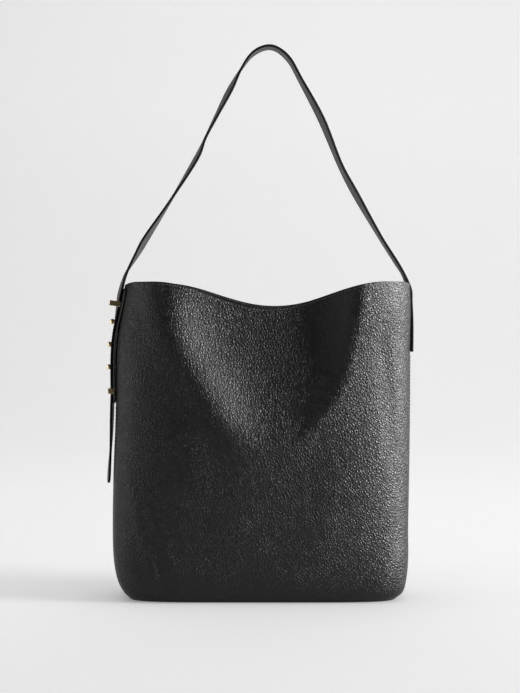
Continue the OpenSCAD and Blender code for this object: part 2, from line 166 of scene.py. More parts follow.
# The dish: where the mouth's edge has fallen inwards, from a crest on the left and one on the right
# down to a valley between them. Sizes are in millimetres, and the crests close in further down.
DISH_DROP = 190
DISH_DEPTH = {-1: 34.5, 1: 24}
VALLEY_X = 25
LEFT_FALL_W = 180
RIGHT_FALL_W = 88
LEFT_CREST, RIGHT_CREST = 0.43, 0.3  # share of the way over which a crest rounds off


def fall_profile(crest):
    """Share of the dish's depth, at 0..1 of the way from its crest to its valley."""
    t = np.linspace(0, 1, 200)
    total = np.cumsum(ease(0, crest, t) * (1 - t) ** 1.3)
    return t, total / total[-1]


def dish(x, z, side):
    """How far inwards the leather has fallen at x and z."""
    down = np.clip((RIM_H - z) / DISH_DROP, 0, 1)
    left = LEFT_FALL_W * (1 - 0.655 * down**1.22)
    right = RIGHT_FALL_W * (1 - down**3.6) + 1
    on_left = np.interp(1 - (VALLEY_X - x) / left, *fall_profile(LEFT_CREST), left=0)
    on_right = np.interp(1 - (x - VALLEY_X) / right, *fall_profile(RIGHT_CREST), left=0)
    across = np.where(x < VALLEY_X, on_left, on_right)
    return DISH_DEPTH[side] * (1 - down**2.3) ** 1.6 * across


def crease(x, z, start, end, width, height):
    """Ridge of the given width and height along a line, fading at both ends."""
    a, b = np.array(start, float), np.array(end, float)
    d = (b - a) / np.linalg.norm(b - a)
    along = ((x - a[0]) * d[0] + (z - a[1]) * d[1]) / np.linalg.norm(b - a)
    across = (x - a[0]) * d[1] - (z - a[1]) * d[0]
    return height * bump(across, width) * ease(-0.15, 0.3, along) * ease(1.15, 0.7, along)


# Creases of the front: start and end as x and z, width, and height outwards
CREASES = (
    ((-152, 150), (-112, 6), 7, 1.5), ((-135, 128), (-88, 20), 10, 1.0), ((-143, 120), (-104, 10), 6, -1.0),
    ((150, 330), (158, 190), 9, 1.2), ((-124, 345), (-10, 160), 24, 3.6),
    ((136, 300), (150, 150), 10, -1.0), ((162, 60), (120, 8), 9, 1.4))


def folds(x, z, side):
    """Soft waves and creases in the leather, as a distance outwards. The back's are the front's, turned."""
    if side > 0:
        x = -x
    out = 0.5 * np.sin(x / 31 + 0.6) * np.sin(z / 43 + 1.1) + 0.35 * np.sin(x / 17 - z / 29)
    for start, end, width, height in CREASES:
        out = out + crease(x, z, start, end, width, height)
    return out * ease(0, 25, z)


def wall(fx, fy, z, off, side):
    """Points of the body's wall at places (fx, fy) of its outline, at heights z, inset off."""
    left, right = column(1, z) + off, column(2, z) - off
    deep, power = column(3, z) - off, column(4, z)
    k = (np.abs(fx) ** power + np.abs(fy) ** power) ** (-1 / power)
    x = (left + right) / 2 + fx * k * (right - left) / 2
    depth = fy * k
    y = depth * deep - (dish(x, z, side) - folds(x, z, side)) * ease(0, 0.5, depth)
    y = side * np.maximum(SEAM_GAP, y)
    return np.stack([x - y * SHEAR * ease(SHEAR_FROM_Z, RIM_H, z), y, z + 0 * x], -1)


def rim(fx, fy, side):
    """Height of the rim at places (fx, fy) of the outline."""
    x = wall(fx, fy, np.full(np.shape(fx), RIM_H), 0, side)[..., 0]
    u = np.clip((x - SCOOP_X[side]) / SCOOP_HALF_W, -1, 1)
    scoop = np.cos(math.pi / 2 * u) ** 2
    corner = ease(0.92, 1, np.abs(fx)) * (1 - ease(0, 0.5, fy))
    return RIM_H - SCOOP[side] * scoop - SEAM_DROP * corner


def outline(up, across):
    """Places along half of the outline: up one side, across, and back down the other."""
    fy = np.concatenate([np.linspace(0, 1, up, endpoint=False), np.ones(across + 1),
                         np.linspace(1, 0, up + 1)[1:]])
    fx = np.concatenate([-np.ones(up), np.linspace(-1, 1, across + 1), np.ones(up)])
    return fx, fy


def seam(z, left):
    """x of a side seam at heights z."""
    return column(1 if left else 2, z)


# ---- Mesh helpers -------------------------------------------------------------------------------

def make(name, points, faces, material, body=None, second=None, second_faces=()):
    """Mesh object from points in millimetres. second is the material of the second_faces."""
    mesh = bpy.data.meshes.new(name)
    mesh.from_pydata([tuple(p) for p in np.asarray(points, float) * MM], [], [tuple(f) for f in faces])
    mesh.materials.append(material)
    if second:
        mesh.materials.append(second)
        for f in second_faces:
            mesh.polygons[f].material_index = 1
    mesh.polygons.foreach_set("use_smooth", [True] * len(mesh.polygons))
    obj = bpy.data.objects.new(name, mesh)
    bpy.context.scene.collection.objects.link(obj)
    tidy = bmesh.new()
    tidy.from_mesh(mesh)
    bmesh.ops.recalc_face_normals(tidy, faces=tidy.faces)
    tidy.to_mesh(mesh)
    tidy.free()
    if body:
        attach(obj, body)
    return obj


def sleeve(name, loops, material, second=None, edge_rows=()):
    """Closed shell from a ring of rows of points.

    Rows run round the shell's section and columns along it. edge_rows get the second material.
    """
    rows, cols = len(loops), len(loops[0])
    points = np.concatenate(loops)
    faces, edge_faces = [], []
    for i in range(rows):
        j = (i + 1) % rows
        for c in range(cols - 1):
            if i in edge_rows:
                edge_faces.append(len(faces))
            faces.append((i * cols + c, i * cols + c + 1, j * cols + c + 1, j * cols + c))
    half = rows // 2
    for end in (0, cols - 1):
        for i in range(half - 1):
            a, b = i, rows - 1 - i
            faces.append((a * cols + end, (a + 1) * cols + end, (b - 1) * cols + end, b * cols + end))
        if rows % 2:
            faces.append(((half - 1) * cols + end, half * cols + end, (half + 1) * cols + end))
    return make(name, points, faces, material, second=second, second_faces=edge_faces)


def ring_faces(count, sides):
    """Faces that join a row of rings of points, with both ends closed."""
    faces = [(i * sides + k, i * sides + (k + 1) % sides, (i + 1) * sides + (k + 1) % sides,
              (i + 1) * sides + k) for i in range(count - 1) for k in range(sides)]
    return faces + [tuple(range(sides))[::-1], tuple((count - 1) * sides + k for k in range(sides))]


def tube(path, radii, sides=6):
    """Points and faces of a closed tube along a path, for one stitch or a small rod."""
    path = np.asarray(path, float)
    d = np.gradient(path, axis=0)
    d /= np.linalg.norm(d, axis=1)[:, None]
    ref = np.array([0, 0, 1.0]) if abs(d[0][2]) < 0.9 else np.array([1.0, 0, 0])
    u = np.cross(d, ref)
    u /= np.linalg.norm(u, axis=1)[:, None]
    v = np.cross(d, u)
    a = np.linspace(0, 2 * math.pi, sides, endpoint=False)
    r = np.broadcast_to(radii, len(path))[:, None, None]
    c, s = np.cos(a)[None, :, None], np.sin(a)[None, :, None]
    rings = path[:, None] + r * (c * u[:, None] + s * v[:, None])
    n = len(path)
    return rings.reshape(-1, 3), ring_faces(n, sides)


FLAT, SHARP = math.radians(2), math.radians(35)  # angles between a CAD solid's faces

# One stitch: place along it, height over the surface and thickness, as shares of its full size
STITCH = ((-0.5, -0.35, 0.5), (-0.36, 0.7, 0.9), (0, 1.0, 1.0), (0.36, 0.7, 0.9), (0.5, -0.35, 0.5))


def stitches(name, path, normals, body, pitch=3.9, length=3.1, radius=0.36, lift=0.16):
    """Row of thread stitches along a path, standing a little proud of the surface."""
    path, normals = np.asarray(path, float), np.asarray(normals, float)
    along = np.concatenate([[0], np.cumsum(np.linalg.norm(np.diff(path, axis=0), axis=1))])
    count = max(1, int(along[-1] / pitch))
    points, faces, base = [], [], 0

    def reading(values, at):
        return np.array([np.interp(at, along, values[:, k]) for k in range(3)])

    for i in range(count):
        at = (i + 0.5) * along[-1] / count
        p, n = reading(path, at), reading(normals, at)
        n /= np.linalg.norm(n)
        step = reading(path, at + 0.5) - reading(path, at - 0.5)
        t = step / np.linalg.norm(step)
        line = [p + t * length * s + n * lift * h for s, h, _ in STITCH]
        more, more_faces = tube(line, [radius * r for _, _, r in STITCH])
        points.append(more)
        faces += [tuple(v + base for v in f) for f in more_faces]
        base += len(more)
    obj = make(name, np.concatenate(points), faces, thread_black, body)
    return obj


def dressed(node, material, bevel=0.3, segments=2):
    """A CAD node's solid with its edges rounded by bevel millimetres, standing for the node."""
    source = frame["nodes"][node]
    mesh = source.data.copy()
    mesh.materials.clear()
    mesh.materials.append(material)
    work = bmesh.new()
    work.from_mesh(mesh)
    bmesh.ops.remove_doubles(work, verts=work.verts, dist=1e-6)
    bmesh.ops.dissolve_limit(work, angle_limit=FLAT, verts=work.verts, edges=work.edges)
    sharp = [e for e in work.edges if e.is_manifold and e.calc_face_angle(0) > SHARP]
    bmesh.ops.bevel(work, geom=sharp, offset=bevel * MM, segments=segments, profile=0.5, affect="EDGES",
                    clamp_overlap=True)
    for f in work.faces:
        f.smooth = True
        f.material_index = 0
    work.to_mesh(mesh)
    work.free()
    obj = bpy.data.objects.new(node + "_dressed", mesh)
    bpy.context.scene.collection.objects.link(obj)
    crisp = obj.modifiers.new("crisp", "WEIGHTED_NORMAL")
    crisp.keep_sharp = True
    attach(obj, source["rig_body"])
    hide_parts(node)
    return obj


# ---- Materials ----------------------------------------------------------------------------------

class Nodes:
    """A material's node tree, with short ways to add to it."""

    def __init__(self, name, color, roughness, **sockets):
        """sockets are the shader's other inputs, with _ for a space."""
        self.material = bpy.data.materials.new(name)
        self.material.use_nodes = True
        self.tree = self.material.node_tree
        self.shader = self.tree.nodes["Principled BSDF"]
        self.shader.inputs["Base Color"].default_value = (*color, 1)
        self.shader.inputs["Roughness"].default_value = roughness
        for key, value in sockets.items():
            self.shader.inputs[key.replace("_", " ")].default_value = value
        self.position = self.add("ShaderNodeTexCoord").outputs["Object"]

    def add(self, kind, **settings):
        """A new node, with its settings."""
        node = self.tree.nodes.new(kind)
        for key, value in settings.items():
            setattr(node, key, value)
        return node

    def put(self, socket, value):
        """Links another node's output to a socket, or sets it to a constant."""
        if isinstance(value, bpy.types.NodeSocket):
            self.tree.links.new(value, socket)
        else:
            socket.default_value = value

    def math(self, operation, a, b=0.0):
        """A sum, product or other operation on one or two values."""
        node = self.add("ShaderNodeMath", operation=operation)
        for socket, value in zip(node.inputs, (a, b)):
            self.put(socket, value)
        return node.outputs[0]

    def noise(self, scale, detail, vector=None, output="Fac"):
        """Soft noise, scale waves to the metre."""
        node = self.add("ShaderNodeTexNoise")
        node.inputs["Scale"].default_value = scale
        node.inputs["Detail"].default_value = detail
        node.inputs["Roughness"].default_value = 0.55
        self.put(node.inputs["Vector"], vector or self.position)
        return node.outputs[output]

    def cells(self, scale, vector):
        """Distance to the nearest edge of irregular cells."""
        node = self.add("ShaderNodeTexVoronoi", feature="DISTANCE_TO_EDGE")
        node.inputs["Scale"].default_value = scale
        self.put(node.inputs["Vector"], vector)
        return node.outputs["Distance"]

    def warped(self, scale, amount):
        """The position, pushed about by noise."""
        centred = self.add("ShaderNodeVectorMath", operation="SUBTRACT")
        self.put(centred.inputs[0], self.noise(scale, 2, output="Color"))
        centred.inputs[1].default_value = (0.5, 0.5, 0.5)
        scaled = self.add("ShaderNodeVectorMath", operation="SCALE")
        self.put(scaled.inputs[0], centred.outputs[0])
        scaled.inputs["Scale"].default_value = amount
        total = self.add("ShaderNodeVectorMath", operation="ADD")
        self.put(total.inputs[0], self.position)
        self.put(total.inputs[1], scaled.outputs[0])
        return total.outputs[0]

    def stretched(self, x, y, z):
        """The position, scaled along each axis."""
        node = self.add("ShaderNodeVectorMath", operation="MULTIPLY")
        self.put(node.inputs[0], self.position)
        node.inputs[1].default_value = (x, y, z)
        return node.outputs[0]

    def spread(self, value, from_low, from_high, to_low, to_high, smooth=False):
        """A value moved from one range to another."""
        node = self.add("ShaderNodeMapRange", interpolation_type="SMOOTHSTEP" if smooth else "LINEAR")
        for socket, v in zip(node.inputs, (value, from_low, from_high, to_low, to_high)):
            self.put(socket, v)
        return node.outputs[0]

    def ramp(self, value, *stops):
        """A colour from a value, between stops of place and colour."""
        node = self.add("ShaderNodeValToRGB")
        self.put(node.inputs[0], value)
        while len(node.color_ramp.elements) < len(stops):
            node.color_ramp.elements.new(0.5)
        for element, (place, color) in zip(node.color_ramp.elements, stops):
            element.position = place
            element.color = (*color, 1)
        return node.outputs[0]

    def color(self, value):
        """Links the shader's base colour."""
        self.put(self.shader.inputs["Base Color"], value)

    def roughness(self, value):
        """Links the shader's roughness."""
        self.put(self.shader.inputs["Roughness"], value)

    def relief(self, height, distance, strength=1.0, under=None):
        """Bump from a height field of 0 to 1, distance metres deep."""
        node = self.add("ShaderNodeBump")
        node.inputs["Distance"].default_value = distance
        node.inputs["Strength"].default_value = strength
        self.put(node.inputs["Height"], height)
        if under:
            self.put(node.inputs["Normal"], under)
        self.put(self.shader.inputs["Normal"], node.outputs[0])
        return node.outputs[0]


def leather(name, cell, depth, shade, rough, wrinkle, gloss):
    """Black leather with a grain of rounded pebbles cell metres across and depth metres deep.

    wrinkle is the share of finer grain between the pebbles.
    """
    m = Nodes(name, (shade, shade, shade * 1.04), rough, Specular_IOR_Level=gloss)
    place = m.warped(1 / (cell * 3), cell * 0.9)
    pebble = m.spread(m.cells(1 / cell, place), 0.0, 0.34, 0.0, 1.0, smooth=True)
    fine = m.spread(m.cells(1 / (cell * 0.42), place), 0.0, 0.3, 0.0, 1.0, smooth=True)
    strong = m.spread(m.noise(22, 2), 0.3, 0.7, 0.75, 1.0)
    height = m.math("MULTIPLY", m.math("ADD", pebble, m.math("MULTIPLY", fine, wrinkle)), strong)
    under = m.relief(m.noise(1 / (cell * 0.16), 4), depth * 0.14)
    m.relief(height, depth, 1.0, under)
    mottle = m.noise(60, 4)
    tone = m.math("ADD", m.math("MULTIPLY", mottle, 0.5), m.math("MULTIPLY", pebble, 0.5))
    dark, light = shade * 0.62, shade * 1.25
    m.color(m.ramp(tone, (0.2, (dark,) * 3), (0.8, (light, light, light * 1.04))))
    m.roughness(m.spread(tone, 0.2, 0.9, rough + 0.12, rough - 0.05))
    return m.material


def edge_paint():
    """Black paint on a cut edge of leather, slightly uneven."""
    m = Nodes("edge_paint", (0.003, 0.003, 0.003), 0.5, Specular_IOR_Level=0.15)
    fac = m.noise(900, 3)
    m.relief(fac, 0.00012)
    m.color(m.ramp(fac, (0.3, (0.002, 0.002, 0.002)), (0.7, (0.005, 0.005, 0.005))))
    m.roughness(m.spread(fac, 0.3, 0.7, 0.45, 0.6))
    return m.material


def metal(name, color, rough):
    """Polished metal with faint brushing, and duller where it has been touched."""
    m = Nodes(name, color, rough, Metallic=1.0)
    brushed = m.noise(300, 5, m.stretched(1, 1, 14))
    touched = m.noise(140, 3)
    m.relief(brushed, 0.00003, 0.4)
    m.roughness(m.math("ADD", m.spread(brushed, 0.3, 0.7, rough - 0.05, rough + 0.05),
                       m.spread(touched, 0.45, 0.8, 0.0, 0.12)))
    darker = tuple(c * 0.86 for c in color)
    m.color(m.ramp(touched, (0.35, color), (0.75, darker)))
    return m.material


def weave(name, color, axes, pitch, twill=0.5):
    """Woven cloth: warp and weft of the given pitch in metres, along two axes of the object."""
    m = Nodes(name, color, 0.8, Sheen_Weight=0.25, Sheen_Roughness=0.5)
    parts = m.add("ShaderNodeSeparateXYZ")
    m.put(parts.inputs[0], m.warped(160, 0.0005))
    a, b = (parts.outputs["XYZ".index(axis)] for axis in axes)
    turn = 2 * math.pi / pitch
    warp = m.math("SINE", m.math("MULTIPLY", a, turn))
    weft = m.math("SINE", m.math("MULTIPLY", b, turn))
    diagonal = m.math("SINE", m.math("MULTIPLY", m.math("ADD", a, b), turn * 0.5))
    threads = m.math("MAXIMUM", warp, weft)
    height = m.math("ADD", threads, m.math("MULTIPLY", diagonal, twill))
    level = m.spread(height, -1.5, 1.5, 0.0, 1.0)
    m.relief(level, 0.00018, 0.8)
    uneven = m.noise(900, 3)
    tone = m.math("ADD", m.math("MULTIPLY", level, 0.6), m.math("MULTIPLY", uneven, 0.4))
    m.color(m.ramp(tone, (0.15, tuple(c * 0.55 for c in color)), (0.85, tuple(c * 1.35 for c in color))))
    return m.material


def thread(name, color):
    """Twisted thread."""
    m = Nodes(name, color, 0.6, Sheen_Weight=0.2)
    twist = m.noise(2600, 2, m.stretched(1, 1, 3))
    m.relief(twist, 0.0001)
    m.color(m.ramp(twist, (0.3, tuple(c * 0.6 for c in color)), (0.7, tuple(c * 1.4 for c in color))))
    return m.material


def fibreboard():
    """Brown board of pressed leather fibre."""
    m = Nodes("fibreboard", (0.2, 0.13, 0.08), 0.85)
    fibres = m.noise(420, 6, m.stretched(1, 3, 1))
    m.relief(fibres, 0.0003)
    m.color(m.ramp(fibres, (0.3, (0.11, 0.07, 0.045)), (0.7, (0.28, 0.19, 0.12))))
    return m.material


pebbled = leather("pebbled_leather", cell=0.003, depth=0.00042, shade=0.0038, rough=0.37, wrinkle=0.22,
                  gloss=0.3)
smooth_leather = leather("strap_leather", cell=0.0011, depth=0.00014, shade=0.008, rough=0.42,
                         wrinkle=0.35, gloss=0.45)
painted_edge = edge_paint()
gold = metal("gold", (1.0, 0.78, 0.43), 0.29)
steel = metal("steel", (0.55, 0.55, 0.56), 0.3)
LINING_COLOR = (0.03, 0.028, 0.026)
lining_cloth = weave("lining_cloth", LINING_COLOR, "XZ", 0.0009)
base_cloth = weave("base_lining_cloth", LINING_COLOR, "XY", 0.0009)
pocket_cloth = weave("pocket_cloth", (0.05, 0.046, 0.041), "XZ", 0.0008, twill=0.1)
tape_cloth = weave("zip_tape_cloth", (0.015, 0.015, 0.015), "XZ", 0.0007, twill=1.0)
thread_black = thread("black_thread", (0.02, 0.02, 0.021))
board = fibreboard()


# ---- Leather body -------------------------------------------------------------------------------

def wall_shell(name, side, base, top, off, t, cells, rows, material, lean=0.0):
    """Closed shell of the body's wall between heights base and top, with a rounded, painted top edge.

    cells are the numbers for outline(), off the inset of its outer face and t its thickness. lean brings
    its top outwards by that much.
    """
    fx, fy = outline(*cells)
    r = t / 2

    def row(share, across, rise):
        z = base + (top - r - base) * share + rise
        inset = off + across - lean * ease(0.45, 0.97, share)
        return wall(fx, fy, z, inset, side)

    shares = np.linspace(0, 1, rows + 1)
    arc = np.radians([150, 120, 90, 60, 30])
    loops = [row(s, 0, 0) for s in shares]
    loops += [row(1, r - r * math.cos(math.pi - a), r * math.sin(a)) for a in arc]
    loops += [row(s, t, 0) for s in shares[::-1]]
    edges = range(rows, rows + len(arc) + 1)
    obj = sleeve(name, loops, material, painted_edge, edges)
    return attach(obj, "bag_body")


def panel(name, node, side):
    """Outer leather of one side."""
    cells = (22, 130)
    top = rim(*outline(*cells), side)
    base = np.full(top.shape, low(node)[2])
    obj = wall_shell(name, side, base, top, 0, LEATHER_T, cells, 150, pebbled)
    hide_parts(node)


def facing(name, node, side):
    """Leather band inside the rim of one side, that leans out to meet the panel at its top."""
    cells = (14, 90)
    edge = rim(*outline(*cells), side)
    obj = wall_shell(name, side, edge - FACING_H, edge - 0.2, FACING_OFF, FACING_T, cells, 20,
                     smooth_leather, FACING_OFF - LEATHER_T - 0.05)
    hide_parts(node)


def wall_normals(fx, fy, z, off, side):
    """Outward normals of the wall, from small steps along it."""
    p = wall(fx, fy, z, off, side)
    up = wall(fx, fy, z + 0.5, off, side) - p
    along = np.gradient(p, axis=0)
    n = np.cross(along, up)
    n /= np.linalg.norm(n, axis=1)[:, None]
    return p, n * np.sign(n[len(n) // 2, 1] * side)


def rim_stitching(name, side, off, flip):
    """Stitches along the rim, on the outside or, with flip, on the facing."""
    fx, fy = outline(14, 170)
    keep = fy > 0.3
    z = rim(fx, fy, side) - RIM_STITCH_DROP
    p, n = wall_normals(fx, fy, z, off, side)
    stitches(name, p[keep], n[keep] * (-1 if flip else 1), "bag_body")


def seam_stitching(name, side, left, z0, z1):
    """Stitches beside a side seam, from height z0 to z1."""
    out = -1.0 if left else 1.0
    z = np.linspace(z0, z1, 60)
    p = wall(np.full(60, out), np.full(60, 0.085), z, 0, side)
    stitches(name, p, np.tile([out, 0, 0], (60, 1)), "bag_body", pitch=4.2, length=3.2)


panel("front_leather", "front_panel", -1)
panel("back_leather", "back_panel", 1)
facing("front_facing_leather", "front_facing", -1)
facing("back_facing_leather", "back_facing", 1)
rim_stitching("front_rim_stitches", -1, 0, False)
rim_stitching("back_rim_stitches", 1, 0, False)
INSIDE = LEATHER_T + FACING_T + 0.1
rim_stitching("front_rim_inner_stitches", -1, INSIDE, True)
rim_stitching("back_rim_inner_stitches", 1, INSIDE, True)
for side, side_name in ((-1, "front"), (1, "back")):
    seam_stitching(f"left_{side_name}_seam_stitches", side, True, 12, low("stud_tab")[2] - 4)
    seam_stitching(f"right_{side_name}_seam_stitches", side, False, 12, low("strap_sewn_end")[2] - 4)

dressed("base_panel", pebbled, 0.7, 3)
frame["nodes"]["base_board"].data.materials[0] = board


# ---- Lining and pockets -------------------------------------------------------------------------

def lining(name, node, side, plane):
    """Cloth lining that hangs from the facing with loose upright folds, no further out than plane."""
    fx, fy = outline(16, 90)
    base, top = low(node)[2], rim(fx, fy, side) - FACING_H + 2.5
    shares = np.linspace(0, 1, 60)

    def row(share, off):
        z = base + (top - base) * share
        p = wall(fx, fy, z, off, side)
        wave = 1.1 * np.sin(p[:, 0] / 8.5 + 2.2 * np.sin(z / 70)) * np.sin(math.pi * share) ** 0.7
        flat = np.minimum(np.abs(p[:, 1]), plane - off + LINING_OFF)
        settled = ease(0, 12, plane - np.abs(p[:, 1]))
        p[:, 1] = side * (flat - np.abs(wave) * 0.8 * settled)
        return p

    loops = [row(s, LINING_OFF) for s in shares] + [row(s, LINING_OFF + CLOTH_T) for s in shares[::-1]]
    obj = sleeve(name, loops, lining_cloth)
    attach(obj, "bag_body")
    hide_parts(node)


lining("front_lining_cloth", "front_lining", -1, -low("front_lining")[1])
lining("back_lining_cloth", "back_lining", 1, high("back_lining")[1])
for node, cloth in (("base_lining", base_cloth), ("zip_pocket", pocket_cloth), ("slip_pocket", pocket_cloth)):
    frame["nodes"][node].data.materials[0] = cloth

for node in ("zip_welt", "slip_pocket_binding", "stud_backing", "sewn_end_backing"):
    dressed(node, smooth_leather, 0.25)
dressed("zip_tapes", tape_cloth, 0.1)


# ---- Gold hardware ------------------------------------------------------------------------------

SNAP = {-1: (6, 303), 1: (6, 309)}  # x and z of the snap's socket and stud
CAD_SNAP_DISH = {-1: 25.4, 1: 22.0}  # how far the CAD's leather has fallen there


def settle(obj):
    """Moves a snap piece in with the leather, which falls further there than the CAD's."""
    for v in obj.data.vertices:
        side = -1 if v.co.y < 0 else 1
        x, z = SNAP[side]
        v.co.y -= side * (float(dish(np.array(x), np.array(z), side)) - CAD_SNAP_DISH[side]) * MM


for node, bevel in (("upper_keeper", 0.45), ("lower_keeper", 0.45), ("stud_nuts", 0.3), ("zip_teeth", 0.15),
                    ("zip_stops", 0.3), ("zip_slider", 0.25), ("zip_pull", 0.4)):
    dressed(node, gold, bevel, 3)
for node in ("snap_socket", "snap_stud"):
    settle(dressed(node, gold, 0.35, 3))
settle(dressed("snap_washers", steel, 0.1))


def studs():
    """Three round-headed studs on turned necks. Their profile is in distance outwards and radius."""
    points, faces, base = [], [], 0
    around = np.linspace(0, 2 * math.pi, 40, endpoint=False)
    profile = [(-12.4, 0.0), (-12.4, 1.55), (2.6, 1.6), (5.2, 1.6), (5.6, 2.1), (5.75, 2.6)]
    profile += [(8.15 - 2.55 * math.cos(a), 0.4 + 2.85 * math.sin(a))
                for a in np.linspace(0.5, math.pi - 0.12, 14)]
    profile += [(10.75, 0.0)]
    for z in STUD_HEIGHTS:
        x_low, x, x_high = seam(np.array([z - 1.0, z, z + 1.0]), True)
        lean = math.atan2(x_high - x_low, 2)
        out = np.array([-math.cos(lean), 0, math.sin(lean)])
        up, back = np.array([math.sin(lean), 0, math.cos(lean)]), np.array([0, 1, 0])
        for d, r in profile:
            for a in around:
                points.append(np.array([x, 0, z]) + out * d + r * (up * math.cos(a) + back * math.sin(a)))
        n = len(around)
        for i in range(len(profile) - 1):
            for k in range(n):
                a, b = base + i * n + k, base + i * n + (k + 1) % n
                faces.append((a, b, b + n, a + n))
        base += n * len(profile)
    obj = make("gold_studs", points, faces, gold, "bag_body")
    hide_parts("strap_studs")


studs()


# ---- Strap --------------------------------------------------------------------------------------

def catmull(points, steps):
    """A smooth line through all the points, with steps samples between each two."""
    p = np.vstack([points[0], points, points[-1]])
    t = np.linspace(0, 1, steps, endpoint=False)[:, None]
    out = [0.5 * (2 * b + (c - a) * t + (2 * a - 5 * b + 4 * c - d) * t**2 + (3 * b - a - 3 * c + d) * t**3)
           for a, b, c, d in zip(p, p[1:], p[2:], p[3:])]
    return np.vstack(out + [points[-1:]])


def side_twist(z):
    """How far the side of the bag is turned to the front, in degrees."""
    return math.degrees(math.atan(SHEAR)) * ease(SHEAR_FROM_Z, RIM_H, z)


def run_turn(z):
    """How much further the strap and its tab turn to the front on the studded side, in degrees."""
    return 5 * ease(285, 345, z)


def strap_frames(rows):
    """Places, and directions along, across and out of the strap, for rows of x, z and twist."""
    place = np.stack([rows[:, 0], 0 * rows[:, 0], rows[:, 1]], 1)
    d = np.gradient(place, axis=0)
    d /= np.linalg.norm(d, axis=1)[:, None]
    across = np.array([0, 1.0, 0])
    out = np.stack([-d[:, 2], 0 * d[:, 0], d[:, 0]], 1)
    c, s = np.cos(np.radians(rows[:, 2]))[:, None], np.sin(np.radians(rows[:, 2]))[:, None]
    return place, d, across * c - out * s, out * c + across * s


def strap_mesh(name, rows, half_widths=None):
    """Doubled strap with flat, painted edges, swept along its line."""
    place, _, w, n = strap_frames(rows)
    half = np.full(len(rows), STRAP_W / 2) if half_widths is None else half_widths
    t, r = STRAP_T / 2, 0.5
    corner = np.radians([0, 30, 60, 90])
    # Points of the section: place across, side of the strap, and shifts at its rounded corners
    section = [(k, 1, 0.0, 0.0) for k in np.linspace(-1, 1, 13)[:-1]]
    section += [(1, 1, r * math.sin(a), r * math.cos(a) - r) for a in corner]
    section += [(1, -1, r * math.cos(a), r - r * math.sin(a)) for a in corner[:-1]]
    section += [(k, -1, 0.0, 0.0) for k in np.linspace(1, -1, 13)[:-1]]
    section += [(-1, -1, -r * math.sin(a), r - r * math.cos(a)) for a in corner]
    section += [(-1, 1, -r * math.cos(a), r * math.sin(a) - r) for a in corner[:-1]]
    rings = []
    for k, face, push, drop in section:
        crown = 0.12 * (1 - k * k) * face
        rings.append(place + w * ((half - r) * k + push)[:, None] + n * (face * t + drop + crown))
    sides = len(section)
    faces = ring_faces(len(rows), sides)
    edges = [i for i in range(len(faces) - 2) if 12 <= i % sides < 18 or i % sides >= 31]
    edges += [len(faces) - 2, len(faces) - 1]
    return make(name, np.stack(rings, 1).reshape(-1, 3), faces, smooth_leather, second=painted_edge,
                second_faces=edges)


def punch_holes(obj, places, out):
    """Round holes through a strap at the given places, with painted walls."""
    points, faces, count = [], [], 0
    for place in places:
        rod, rod_faces = tube([place - out * 6, place, place + out * 6], HOLE_R, 24)
        points.append(rod)
        faces += [tuple(v + count for v in f) for f in rod_faces]
        count += len(rod)
    punch = make("hole_punch", np.concatenate(points), faces, smooth_leather, second=painted_edge,
                 second_faces=range(len(faces)))
    holes = obj.modifiers.new("holes", "BOOLEAN")
    holes.operation, holes.solver, holes.material_mode = "DIFFERENCE", "EXACT", "INDEX"
    holes.object = punch
    cut = bpy.data.meshes.new_from_object(obj.evaluated_get(bpy.context.evaluated_depsgraph_get()))
    obj.modifiers.clear()
    obj.data = cut
    cut.set_sharp_from_angle(angle=math.radians(40))
    bpy.data.objects.remove(punch)


def strap_edge_stitches(name, rows, face):
    """A row of stitches near each edge of the strap, on its outer face (1) or its inner one (-1)."""
    place, _, w, n = strap_frames(rows)
    surface = n * face * STRAP_T / 2 * 0.95
    return [stitches(f"{name}_{k}", place + w * s * (STRAP_W / 2 - EDGE_STITCH_IN) + surface, n * face, None,
                     pitch=3.7, length=2.9, radius=0.28, lift=0.1) for k, s in enumerate((-1, 1))]


run_z = np.arange(LOWER_KEEPER_Z, RIM_H - 7, 14.0)
left_run = np.stack([seam(run_z, True) - RUN_OFF, run_z, -side_twist(run_z) - run_turn(run_z)], 1)
sewn_low = low("strap_sewn_end")[2]
sewn_z = np.arange(RIM_H - 8, sewn_low, -14.0)
sewn_x = seam(sewn_z, False) + SEWN_OFF - ease(300, 350, sewn_z)
right_run = np.stack([sewn_x, sewn_z, SEWN_TWIST * side_twist(sewn_z)], 1)
right_end = np.array([[seam(np.array(sewn_low), False) + SEWN_OFF, sewn_low, 0]])
belt = catmull(np.vstack([left_run, ARCH, right_run, right_end]), 6)

strap = strap_mesh("shoulder_strap_leather", belt)
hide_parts("strap_handle", "strap_run", "strap_sewn_end")
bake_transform(strap)
for stitch_name, face in (("strap_stitches", 1), ("strap_inner_stitches", -1)):
    for piece in strap_edge_stitches(stitch_name, belt[4:-4], face):
        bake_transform(piece)


